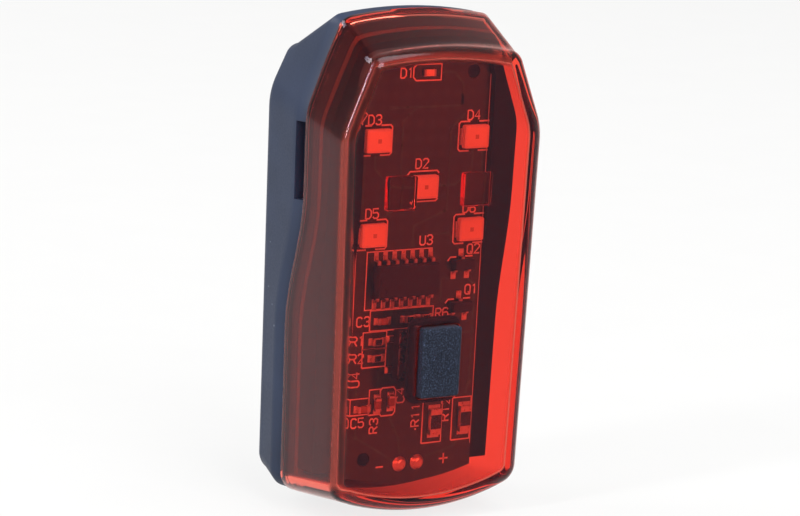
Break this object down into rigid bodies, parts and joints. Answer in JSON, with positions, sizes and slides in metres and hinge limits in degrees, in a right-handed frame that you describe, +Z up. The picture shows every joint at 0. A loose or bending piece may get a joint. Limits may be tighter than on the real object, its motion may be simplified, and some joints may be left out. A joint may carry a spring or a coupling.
{
  "type": "bike rear light",
  "caption": "Upright bike rear light: a red see-through lens with soft mode button snaps onto a black housing that holds the cells and slides onto a bracket.",
  "frame": {"origin": "middle of the bracket shoe's rear face", "axes": "+Z up along the light, +Y out of the shoe's face, away from the lens, +X to the right as the lens is seen from its front"},
  "size_m": [0.0282, 0.0237, 0.0601],
  "materials": {
    "black_abs": "satin",
    "seal_rubber": "natural silicone, matt",
    "cell_sleeve": "satin",
    "plated_steel": "bright plated",
    "red_lens": "polished, see-through",
    "board_mask": "solder mask",
    "led_resin": "satin",
    "chip_resin": "matt",
    "tinned_metal": "tinned",
    "capacitor_ceramic": "matt",
    "finger_brass": "bright",
    "button_rubber": "matt, speckled"
  },
  "bodies": {
    "rear_unit": {"rear_housing": "black_abs", "seal_ring": "seal_rubber", "cell_left": "cell_sleeve", "cell_right": "cell_sleeve", "bridge_contact": "plated_steel", "bridge_spring": "plated_steel", "negative_contact": "plated_steel", "negative_spring": "plated_steel", "positive_contact": "plated_steel"},
    "front_unit": {"lens": "red_lens", "board_carrier": "black_abs", "circuit_board": "board_mask", "corner_leds": "led_resin", "centre_led": "led_resin", "indicator_led": "led_resin", "control_chip": "chip_resin", "chip_leads": "tinned_metal", "transistors": "chip_resin", "transistor_leads": "tinned_metal", "chip_resistors": "chip_resin", "chip_capacitors": "capacitor_ceramic", "chip_ends": "tinned_metal", "load_resistors": "chip_resin", "load_ends": "tinned_metal", "switch_case": "chip_resin", "switch_cover": "plated_steel", "contact_fingers": "finger_brass", "solder_joints": "tinned_metal"},
    "button": {"mode_button": "button_rubber"},
    "plunger": {"switch_plunger": "chip_resin"}
  },
  "joints": [
    {"name": "front_release", "type": "slide", "parent": "rear_unit", "child": "front_unit", "axis": [0, -1, 0], "range_m": [0, 0.022]},
    {"name": "mode_press", "type": "slide", "parent": "front_unit", "child": "button", "axis": [0, 1, 0], "range_m": [0, 0.0005], "stiffness_N_per_m": 2000},
    {"name": "plunger_press", "type": "slide", "parent": "front_unit", "child": "plunger", "axis": [0, 1, 0], "range_m": [0, 0.00025]}
  ],
  "couplings": [
    {"joint": "plunger_press", "follows": "mode_press", "ratio": 0.5}
  ]
}
